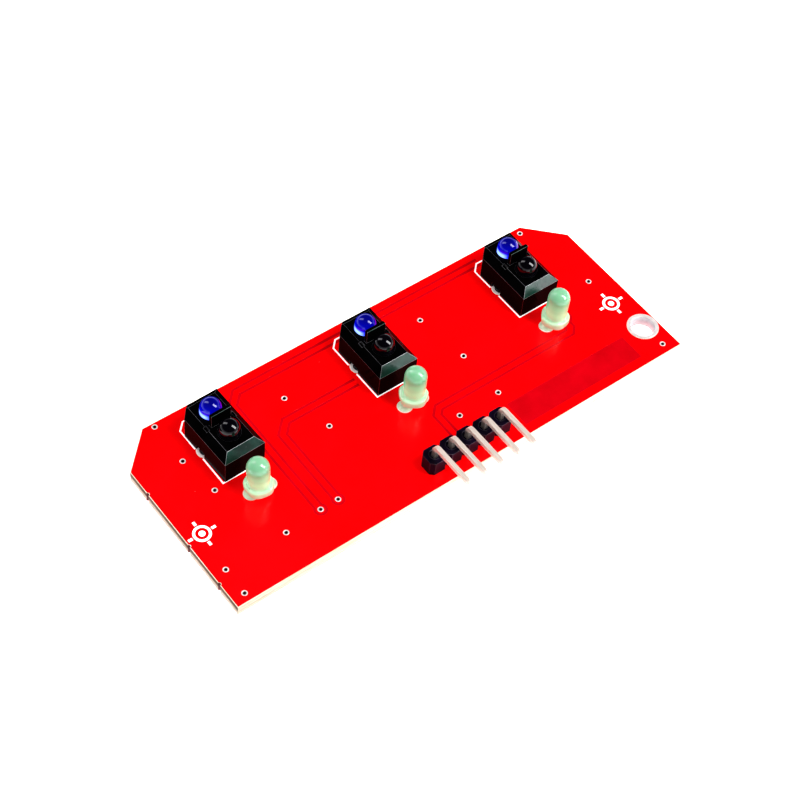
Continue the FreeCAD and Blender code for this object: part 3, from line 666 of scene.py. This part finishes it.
# ------------------------------------------------------------------ plated holes
def eyelet_profile(hole, pad, low, high):
    """Half section of a plated hole: thin barrel, flat rings with rounded rims on both faces."""
    lip = 0.04 * MM
    wall = hole + BARREL
    return ([(hole, low + lip), (hole, high - lip), (hole + lip, high)]
            + arc(pad - lip, high - lip, lip, 90, 0, 3)
            + [(pad, BOARD_TOP), (wall, BOARD_TOP), (wall, BOARD_UNDER), (pad, BOARD_UNDER)]
            + arc(pad - lip, low + lip, lip, 0, -90, 3) + [(hole + lip, low)])


def build_eyelets():
    """Plating of the vias, peg holes and lead holes: bright on both faces, painted shade in the barrel."""
    rows = (("via_plating", lambda s: VIA_HOLE, 28), ("peg_hole_rings", lambda s: PEG_HOLE, 48),
            ("lead_hole_plating", lambda s: lead_hole_radius(s.x / 2), 40))
    for node, hole_of, steps in rows:
        bm = bmesh.new()
        for c, s in islands(node):
            profile = eyelet_profile(hole_of(s), s.x / 2, c.z - s.z / 2, c.z + s.z / 2)
            lathe(bm, profile, Vector((c.x, c.y, 0)), steps, closed=True)
        obj = mesh_object(node + "_tinned", bm, [TIN, HOLE_TIN_PAINTED_SHADE], 40)
        # Painted shade: the faces inside the barrel take the dark tin.
        for p in obj.data.polygons:
            if BOARD_UNDER < p.center.z < BOARD_TOP:
                p.material_index = 1
        place(obj, "tin_plating", node)


def build_screw_rings():
    """The flat ring round the screw hole, on both faces."""
    bm = bmesh.new()
    lip = 0.03 * MM
    for c, s in islands("mounting_hole_rings"):
        outward = 1 if c.z > (BOARD_TOP + BOARD_UNDER) / 2 else -1
        base, face = c.z - outward * s.z / 2, c.z + outward * s.z / 2
        profile = [(SCREW_R, base), (SCREW_R, face - outward * lip), (SCREW_R + lip, face),
                   (PAD_R_SCREW - lip, face), (PAD_R_SCREW, face - outward * lip), (PAD_R_SCREW, base)]
        lathe(bm, profile, Vector((c.x, c.y, 0)), 72, closed=True)
    place(mesh_object("mounting_hole_rings_tinned", bm, TIN, 40), "tin_plating", "mounting_hole_rings")


# ------------------------------------------------------------------ reflective sensors
LENS_R, FLANGE_R, FLANGE_H = 1.35 * MM, 1.6 * MM, 1.65 * MM
FRONT_STRIP, FIN_STRIP = 1.3 * MM, 0.3 * MM     # where edges count as front or fin-top edges, which get the brightest painted highlight


def lens_body(node, name, mat, slot):
    """Flange, barrel and dome cast as one piece round the leads."""
    low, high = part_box(node)
    mid = (low + high) / 2
    base, dome, flange_top = low.z, high.z - LENS_R, low.z + FLANGE_H
    lip = 0.1 * MM
    profile = ([(0, base), (FLANGE_R - lip, base)] + arc(FLANGE_R - lip, base + lip, lip, -90, 0, 3)
               + arc(FLANGE_R - lip, flange_top - lip, lip, 0, 90, 3)
               + [(LENS_R, flange_top)] + arc(0, dome, LENS_R, 0, 90, 20)[:-1] + [(0, high.z)])
    bm = bmesh.new()
    lathe(bm, profile, Vector((mid.x, mid.y, 0)), 64)
    place(mesh_object(name, bm, mat, 35), slot, node)


def shade_shell(shell, low, high):
    """Gives the sloping front bevel and the rounded edges their own lighter materials: a painted reflection
    on the bevel and painted highlights on the edges, brightest along the front and the fin top. The shell
    comes with HOUSING, BEVEL and EDGE, in that order."""
    plain, bevel, edge, bright = range(4)
    shell.data.materials.append(PAINTED_FRONT_HIGHLIGHT)
    for p in shell.data.polygons:
        if p.material_index == plain and p.normal.z > 0.2 and p.normal.y < -0.2:
            p.material_index = bevel
        frontward = p.material_index == edge and p.normal.z > 0.45 and p.normal.y < -0.12
        if frontward and (p.center.y < low.y + FRONT_STRIP or p.center.z > high.z - FIN_STRIP):
            p.material_index = bright


def build_sensors():
    for channel in CHANNELS:
        housing = channel + "_sensor_housing"
        shell = softened(housing, channel + "_sensor_shell", [HOUSING, BEVEL, EDGE], "sensor_plastic",
                         0.028 * MM, 3, clamp=False)
        shade_shell(shell, *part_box(housing))
        lens_body(channel + "_sensor_emitter", channel + "_emitter_lens", BLUE, "emitter_lens")
        lens_body(channel + "_sensor_detector", channel + "_detector_lens", DARK, "detector_lens")


# ------------------------------------------------------------------ indicator LEDs
LED_FLANGE_R, LED_R, LED_FLAT, LED_FLANGE_H = 1.9 * MM, 1.43 * MM, 1.6 * MM, 1.0 * MM
LED_LENGTH = 5.5 * MM
LED_LEANS = ((1.5, -4.5), (0.0, 0.0), (0.0, 0.0))       # degrees about X and Y, as soldered by hand


def led_profile():
    """Half section of an LED body: flange with a rounded rim, hollow waist, barrel and dome."""
    rim, lip, waist = 0.28 * MM, 0.06 * MM, 0.14 * MM
    dome, barrel = LED_LENGTH - LED_R, LED_FLANGE_H + waist
    return ([(0, 0), (LED_FLANGE_R - lip, 0), (LED_FLANGE_R, lip)]
            + arc(LED_FLANGE_R - rim, LED_FLANGE_H - rim, rim, 0, 90, 5)
            + arc(LED_R + waist, barrel, waist, 270, 180, 4)
            + [(LED_R, barrel + (dome - barrel) * i / 10) for i in range(1, 10)]
            + arc(0, dome, LED_R, 0, 90, 20)[:-1] + [(0, LED_LENGTH)])


def slumped(point, phase):
    """Casting waves in the foot of an LED: the epoxy draws in a little, more so towards the flange."""
    around = math.atan2(point.y, point.x)
    foot = max(0.0, 1 - point.z / (0.62 * LED_LENGTH))
    rising = math.sin(3 * around + 2400 * point.z + phase)
    falling = math.cos(2 * around - 1500 * point.z + phase)
    wave = 0.5 + 0.5 * rising * falling
    ripple = 0.5 + 0.5 * math.sin(5 * around + 2 * phase)
    inward = 1 - foot * (0.07 * wave + 0.03 * ripple)
    return Vector((point.x * inward, point.y * inward, point.z * (1 - 0.16 * foot * ripple)))


def build_leds():
    """Each LED is made upright, leaned, and then set in the middle of its CAD lens."""
    for channel, lean in zip(CHANNELS, LED_LEANS):
        node = channel + "_led_lens"
        low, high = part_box(node)
        bm = bmesh.new()
        lathe(bm, led_profile(), Vector((0, 0, 0)), 72)
        for v in bm.verts:
            v.co = slumped(v.co, 2.1 * len(channel))
            v.co.x = min(v.co.x, LED_FLAT)
        turn = Euler((math.radians(lean[0]), math.radians(lean[1]), 0)).to_matrix()
        bmesh.ops.rotate(bm, verts=bm.verts[:], matrix=turn)
        own_low = Vector([min(v.co[i] for v in bm.verts) for i in range(3)])
        own_high = Vector([max(v.co[i] for v in bm.verts) for i in range(3)])
        bmesh.ops.translate(bm, verts=bm.verts[:], vec=(low + high - own_low - own_high) / 2)
        place(mesh_object(channel + "_led_body", bm, milky_epoxy(low.z, high.z), 45), "led_lens", node)


# ------------------------------------------------------------------ solder and small parts
WIRES = (("sensor_solder_joints", 0.45 * MM), ("led_solder_joints", 0.5 * MM),
         ("header_solder_joints", 0.64 * MM))       # the square wire that each set of joints holds


def fillet_profile(neck, pad, foot, tall, power, rows=8):
    """Hollow curve from the pad up to the neck round the wire, closed at the top."""
    steps = [k / rows for k in range(1, rows + 1)]
    curve = [(neck + (pad - neck) * (1 - up) ** power, foot + tall * up) for up in steps]
    return [(pad, foot)] + curve + [(0, foot + tall)]


def build_solder():
    for node, lead in WIRES:
        bm = bmesh.new()
        neck = lead / 2 * math.sqrt(2) + 0.05 * MM
        for number, (c, s) in enumerate(islands(node)):
            outward = 1 if c.z > BOARD_TOP else -1
            power = 2.0 * (1 + 0.06 * math.sin(number * 2.4))
            profile = fillet_profile(neck, s.x / 2, c.z - outward * s.z / 2, outward * s.z, power)
            lathe(bm, profile, Vector((c.x, c.y, 0)), 32)
        bmesh.ops.holes_fill(bm, edges=[e for e in bm.edges if e.is_boundary])
        obj = mesh_object(node + "_fillets", bm, [SOLDER, SOLDER_PAINTED_GREEN], 60)
        # Fillets above the board take the painted green reflection and glow.
        for p in obj.data.polygons:
            if p.center.z > BOARD_TOP:
                p.material_index = 1
        place(obj, "solder", node)


def build_small_parts():
    """The header, the parts on the underside, and a tinned look for the leads, which stay CAD nodes."""
    softened("header_block", "header_cells", [CELL, CELL_PAINTED_HIGHLIGHT], "header_plastic", 0.05 * MM)
    for n in range(1, 6):
        softened("header_pin_%d" % n, "header_pin_%d_wire" % n, PIN, "pin_metal", 0.06 * MM)
    softened("comparator_chip_body", "comparator_chip_case", CHIP, "chip_plastic", 0.04 * MM)
    softened("comparator_chip_leads", "comparator_chip_legs", TIN, "lead_metal", 0.02 * MM)
    softened("chip_end_caps", "chip_end_caps_tinned", TIN, "tin_plating", 0.05 * MM)
    softened("surface_mount_pads", "surface_mount_pads_tinned", TIN, "tin_plating", 0.015 * MM)
    softened("chip_resistor_bodies", "chip_resistor_ceramics", ALUMINA, "resistor_ceramic", 0.03 * MM)
    softened("chip_capacitor_bodies", "chip_capacitor_ceramics", TAN, "capacitor_ceramic", 0.05 * MM)
    for node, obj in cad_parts.items():
        if (node.endswith("_leads") and "sensor" in node) or (node.endswith("_lead") and "_led_" in node):
            obj.data.materials.clear()
            obj.data.materials.append(LEAD)


def build_glaze():
    """The dark glass coat on the outer face of each chip resistor."""
    bm = bmesh.new()
    thick, sunk, margin, lap = 0.02 * MM, 0.004 * MM, 0.04 * MM, 0.05 * MM
    for c, s in islands("chip_resistor_bodies"):
        x, y, z = s.x / 2 + lap, s.y / 2 - margin, c.z - s.z / 2 + sunk
        ring = [Vector((c.x + u, c.y + v, z)) for u, v in ((-x, -y), (x, -y), (x, y), (-x, y))]
        bottom = [bm.verts.new(p) for p in ring]
        top = [bm.verts.new(p - Vector((0, 0, thick))) for p in ring]
        bm.faces.new(bottom)
        bm.faces.new(top)
        for i in range(4):
            j = (i + 1) % 4
            bm.faces.new((bottom[i], bottom[j], top[j], top[i]))
    place(mesh_object("chip_resistor_glaze", bm, GLAZE), "resistor_ceramic")


build_board()
build_copper()
build_silk()
build_eyelets()
build_screw_rings()
build_sensors()
build_leds()
build_solder()
build_small_parts()
build_glaze()


# ------------------------------------------------------------------ floor, light, camera
WORLD, FILL = 0.95, 1.6         # strength of the surroundings and of the fill light
LIGHT_TARGET = (0, 0, 0.004)
CARD_DEPTH, CARD_GAP, CARD_RISE = 0.04, 2 * MM, 0.5 * MM
CAMERA_AT = (-0.09740, -0.101845, 0.18848)
CAMERA_RIGHT = (0.79283, -0.60478, 0.07530)
CAMERA_AHEAD = (0.41372, 0.44337, -0.79515)


def floor():
    """White paper that gives off a little light, so that it stays white."""
    half, cells = 1.2, 24
    bm = bmesh.new()
    bmesh.ops.create_grid(bm, x_segments=cells, y_segments=cells, size=half)
    m, t, b = material("floor_paper", (0.95, 0.95, 0.95), 0.9, Emission_Strength=0.5)
    b.inputs["Emission Color"].default_value = (1, 1, 1, 1)
    wire(t, ramp(t, noise(t, 40, 3), [(0.3, (0.94, 0.94, 0.94)), (0.7, (0.97, 0.97, 0.97))]), b, "Base Color")
    mesh_object("floor", bm, m)


def card():
    """A dark card lying behind the board. Only reflections see it."""
    bm = bmesh.new()
    bmesh.ops.create_grid(bm, x_segments=2, y_segments=2, size=0.5)
    bmesh.ops.scale(bm, verts=bm.verts[:], vec=(0.3, CARD_DEPTH, 1))
    bmesh.ops.translate(bm, verts=bm.verts[:], vec=(0, BACK + CARD_GAP + CARD_DEPTH / 2, CARD_RISE))
    m, t, b = material("card_black", (0.01, 0.01, 0.01), 0.9)
    shades = [(0.3, (0.008, 0.008, 0.008)), (0.7, (0.012, 0.012, 0.012))]
    wire(t, ramp(t, noise(t, 40, 3), shades), b, "Base Color")
    obj = mesh_object("reflection_card", bm, m)
    obj.visible_camera = obj.visible_shadow = obj.visible_diffuse = obj.visible_transmission = False


def area(name, at, size, power, size_y=None):
    """An area light aimed at the middle of the board."""
    light = bpy.data.lights.new(name, "AREA")
    light.energy = power
    light.shape = "RECTANGLE" if size_y else "SQUARE"
    light.size = size
    if size_y:
        light.size_y = size_y
    obj = bpy.data.objects.new(name, light)
    scene.collection.objects.link(obj)
    obj.location = at
    obj.rotation_euler = (Vector(LIGHT_TARGET) - Vector(at)).to_track_quat("-Z", "Y").to_euler()
    return obj


def lights():
    """White surroundings up to a low height and dark above; a tall soft box front right, a dim one high at
    the back left, and an even fill from above that leaves no reflection and casts no shadow."""
    world = bpy.data.worlds.new("studio")
    scene.world = world
    world.use_nodes = True
    tree = world.node_tree
    way = add(tree, "ShaderNodeTexCoord").outputs["Generated"]
    split = add(tree, "ShaderNodeSeparateXYZ", {"Vector": way})
    shade = ramp(tree, split.outputs["Z"], [(0.10, (1, 1, 1)), (0.32, (0.03, 0.03, 0.03))])
    tree.links.new(shade, tree.nodes["Background"].inputs[0])
    tree.nodes["Background"].inputs[1].default_value = WORLD
    area("key", (0.192, -0.226, 0.297), 0.16, 1.4, size_y=0.39)
    area("back_left", (-0.113, 0.286, 0.286), 0.14, 0.35, size_y=0.32)
    fill = area("fill", (-0.10, 0.05, 0.50), 0.5, FILL)
    fill.visible_glossy = False
    fill.data.use_shadow = False


def camera():
    """The photograph's viewing angle."""
    cam = bpy.data.cameras.new("camera")
    obj = bpy.data.objects.new("camera", cam)
    scene.collection.objects.link(obj)
    cam.sensor_width = 36
    cam.lens = 85.0
    cam.clip_start = 0.01
    right, ahead = Vector(CAMERA_RIGHT), Vector(CAMERA_AHEAD)
    turn = Matrix((right, right.cross(ahead), -ahead)).transposed().to_4x4()
    obj.matrix_world = Matrix.Translation(CAMERA_AT) @ turn
    scene.camera = obj


scene.view_settings.look = "High Contrast"
floor()
card()
lights()
camera()

bpy.context.view_layer.update()
